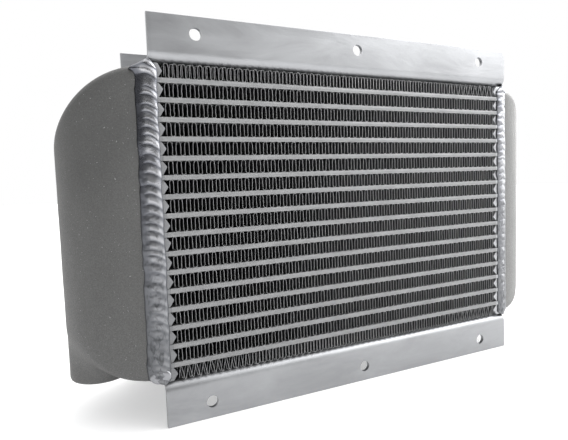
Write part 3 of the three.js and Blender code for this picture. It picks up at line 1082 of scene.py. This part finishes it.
def upright_bead(name, node, side, end, rng):
    """The bead up a corner of the core: wider and duller at the bottom, pointed at the top."""
    z0, z1 = CORE_BOTTOM - 1.5, CORE_TOP + 2.6
    heights = np.arange(z0, z1, BEAD_STEP)
    knots = np.linspace(z0, z1, SHAKES)
    tank_shake = np.interp(heights, knots, rng.standard_normal(SHAKES))
    core_shake = np.interp(heights, knots, rng.standard_normal(SHAKES))
    tank_width, core_width = LEFT_WIDTHS if side < 0 else RIGHT_WIDTHS
    start_dull = LEFT_DULL if side < 0 else RIGHT_DULL
    path = []
    for z, shake, core in zip(heights, tank_shake, core_shake):
        share = (z - z0) / (z1 - z0)
        flare = 4.0 * math.exp(-((z - CORE_TOP + 3.0) / 2.6) ** 2)
        pinch = np.clip((z1 - z) / 7.0, 0, 1) ** 0.6 * np.clip((z - z0) / 4.0, 0, 1) ** 0.5
        width = tank_width - 2.5 * share + (0.5 - 0.2 * share) * shake
        on_tank = 1.0 + width * pinch + flare * pinch
        on_core = -1.0 + (core_width + 1.0 * share + 0.35 * core) * pinch
        path.append({
            "tank": (side * (HALF_LENGTH + on_tank), end * (tank_depth_at(on_tank) - 0.1), z),
            "core": (side * (HALF_LENGTH - on_core), end * (HALF_DEPTH - 0.15), z),
            "out": np.array([side * 0.25, end * 0.97, 0.0]),
            "root": np.array([0.0, -end * 2.0, 0.0]),
            "lift": (0.8 + 0.2 * pinch) * (0.4 + 0.6 * pinch),
            "dull": float(np.clip(start_dull - 1.6 * share + 0.15 * shake, 0, 1)),
        })
    bead(name, node, path, LEFT_BEAD if side < 0 else RIGHT_BEAD, rng)


def level_bead(name, node, side, z, up, rng):
    """The low bead across the top or bottom of a tank."""
    reach = TANK_HALF_DEPTH - 1.0
    path = []
    for y in np.arange(-reach, reach, 0.5):
        taper = np.clip((reach - abs(y)) / 4.0, 0.3, 1)
        path.append({
            "tank": (side * (HALF_LENGTH + 8.0), y, z - up * 0.8),
            "core": (side * (HALF_LENGTH + 0.1), y, z + up * 2.6 * taper),
            "out": np.array([side * 0.6, 0.0, up * 0.6]),
            "root": np.array([0.0, 0.0, -up * 0.8]),
            "lift": 0.35 * taper,
            "dull": 0.5,
        })
    bead(name, node, path, LEVEL_BEAD, rng, across=18)


BUTTON_SIZE = (7.6, 5.6)    # half the width and half the height of a run's end
BUTTON_RISE = 2.2
PIT_DEPTH = 1.3


def crater(name, node, centre, out, rng):
    """The end of a weld run: a smooth oval button with a shallow pit in its upper half."""
    out = Vector(out).normalized()
    across = Vector((0, 0, 1)).cross(out).normalized()
    upward = out.cross(across)
    wide, tall = BUTTON_SIZE
    shares = np.concatenate([np.linspace(0.03, 1, 22), [1.0]])
    angles = np.linspace(0, 2 * math.pi, 72, endpoint=False)
    wave = 0.05 * np.sin(2 * angles + rng.rand() * 6) + 0.02 * np.sin(3 * angles + rng.rand() * 6)
    points, crest = [], []
    for ring, share in enumerate(shares):
        for angle, wobble in zip(angles, wave):
            away = share * (1 + wobble)
            u, v = wide * away * math.cos(angle), tall * away * math.sin(angle)
            pit = math.exp(-((u + 0.8) / 2.6) ** 2 - ((v - 1.3) / 1.5) ** 2)
            rise = BUTTON_RISE * math.sqrt(max(0.0, 1 - share ** 2.4)) - PIT_DEPTH * pit - 0.3
            if ring == len(shares) - 1:
                rise = -2.0
            points.append(Vector(centre) + across * u + upward * v + out * rise)
            # Painted highlight over the button, with painted shade in its pit.
            crest.append(0.75 - 0.55 * pit)
    piece = make_piece(name, points, tube_faces(len(shares), len(angles)), WELD_METAL,
                       node, 60.0)
    clip_to_box(piece.data, *CAD_LIMITS)
    paint(piece, "crest", crest)
    paint(piece, "dull", [0.3] * len(points))


def tank_welds(side, node):
    """All beads of one tank. Only the left one's upright beads end in a button."""
    rng = np.random.RandomState(700 + side)
    for end, face in ((-1, "front"), (1, "rear")):
        upright_bead(f"{node}_{face}", node, side, end, rng)
        if side < 0:
            place = (side * (HALF_LENGTH + 3.0), end * 58.6, CORE_BOTTOM + 4.5)
            crater(f"{node}_{face}_crater", node, place, (side * 0.3, end * 0.95, -0.1), rng)
    level_bead(f"{node}_upper", node, side, CORE_TOP, 1, rng)
    level_bead(f"{node}_lower", node, side, CORE_BOTTOM, -1, rng)


# ---- Camera, lights and floor ----

CAMERA_PLACE = (-0.24496, -0.41286, 0.17546)
CAMERA_YAW = 25.94      # to the right of straight along +Y
CAMERA_PITCH = -4.44
CAMERA_ROLL = 2.02      # the camera's right side dips
CAMERA_LENS = 31.71
CENTRE = Vector((0.0, 0.0, 0.15))
KEY_PLACE = (1.1, -0.8, 1.0)
KEY_SIZE = 0.8
KEY_POWER = 8.0


def make_camera():
    data = bpy.data.cameras.new("camera")
    data.lens = CAMERA_LENS
    data.sensor_width = 36.0
    data.clip_start = 0.01
    camera = in_scene("camera", data)
    turn = Euler((math.radians(90 + CAMERA_PITCH), 0, math.radians(-CAMERA_YAW))).to_matrix()
    roll = Euler((0, 0, -math.radians(CAMERA_ROLL))).to_matrix()
    camera.matrix_world = (turn @ roll).to_4x4()
    camera.location = CAMERA_PLACE
    bpy.context.scene.camera = camera


def make_key_light():
    """A soft lamp in front on the right, on top of the studio's own glow."""
    data = bpy.data.lights.new("key", "AREA")
    data.shape = "RECTANGLE"
    data.size, data.size_y = KEY_SIZE, KEY_SIZE
    data.energy = KEY_POWER
    light = in_scene("key", data)
    light.location = KEY_PLACE
    light.rotation_euler = (CENTRE - Vector(KEY_PLACE)).to_track_quat("-Z", "Y").to_euler()


WHITE = (1.0, 1.0, 1.0, 1.0)
FLOOR_SIZE = 6000.0     # half its width
FLOOR_DROP = 0.2
FLOOR_GLOW = 0.45


def make_floor():
    """A pale flat floor that also glows a little, painted light that keeps the shadows on it light."""
    size = FLOOR_SIZE
    corners = [(x, y, -FLOOR_DROP) for x, y in ((-size, -size), (size, -size), (size, size), (-size, size))]
    n = Surface("pale_floor")
    tone = n.noise(0.004, detail=2.0)
    dark, light = (0.58, 0.58, 0.585), (0.61, 0.61, 0.61)
    colour = n.ramp(tone, [(0.3, dark), (0.7, light)])
    n.shader.inputs["Emission Color"].default_value = WHITE
    # Glow of the floor: painted light that lightens its shadows.
    n.shader.inputs["Emission Strength"].default_value = FLOOR_GLOW
    floor = in_scene("floor", mesh_from("floor", corners, [(0, 1, 2, 3)]))
    floor.data.materials.append(n.finish(colour, n.span(tone, 0.7, 0.8), n.bump(tone, 0.05), 0.0))


BASE_GLOW = 0.2
# Each glow: where it comes from, the cosines at which it begins and is full, how strong it is.
GLOWS = (
    ((0.94, 0.1, 0.33), 0.15, 1.0, 2.15),
    ((0.93, 0.36, 0.05), 0.7, 1.0, 3.4),
    ((0.0, 0.0, 1.0), 0.25, 1.0, 1.3),
    ((0.0, 1.0, 0.0), 0.15, 0.8, 0.75),
)


def glow_from(n, direction, source, low, high, strength):
    near = n.new("ShaderNodeVectorMath", {0: direction, 1: source}, operation="DOT_PRODUCT")
    inputs = {"Value": near.outputs["Value"], "From Min": low, "From Max": high, "To Max": strength}
    share = n.new("ShaderNodeMapRange", inputs, interpolation_type="SMOOTHSTEP")
    return share.outputs["Result"]


def make_world():
    """A studio tent: dim in front and on the left, brighter to the right, above and behind. The
    camera itself sees plain white."""
    world = bpy.data.worlds.new("studio")
    bpy.context.scene.world = world
    world.use_nodes = True
    n = Nodes(world.node_tree)
    n.tree.nodes.clear()
    direction = n.new("ShaderNodeTexCoord").outputs["Generated"]
    total = BASE_GLOW
    for glow in GLOWS:
        total = n.new("ShaderNodeMath", {0: glow_from(n, direction, *glow), 1: total}).outputs["Value"]
    lit = n.new("ShaderNodeBackground", {"Color": WHITE, "Strength": total}).outputs[0]
    seen = n.new("ShaderNodeBackground", {"Color": WHITE}).outputs[0]
    is_camera = n.new("ShaderNodeLightPath").outputs["Is Camera Ray"]
    either = n.new("ShaderNodeMixShader", {0: is_camera, 1: lit, 2: seen}).outputs[0]
    n.new("ShaderNodeOutputWorld", {"Surface": either})


# ---- Build ----

make_camera()
make_world()
make_key_light()
make_floor()
bpy.context.scene.view_settings.view_transform = "Standard"
bpy.context.scene.view_settings.look = "None"

for index in range(AIR_ROWS):
    air_fin(index)
for index in range(OIL_LAYERS):
    oil_passage(index)
    dress(NODES[f"turbulator_{index + 1:02d}"], BAR_METAL)
end_bars(-1, "left_end_bars")
end_bars(1, "right_end_bars")
side_channel("upper_channel", "top_channel", True)
side_channel("lower_channel", "bottom_channel", False)
end_tank(-1, "left_tank", PORT_CORNER)
end_tank(1, "right_tank", TANK_CORNER)
tank_welds(-1, "left_tank_weld")
tank_welds(1, "right_tank_weld")

bpy.context.view_layer.update()
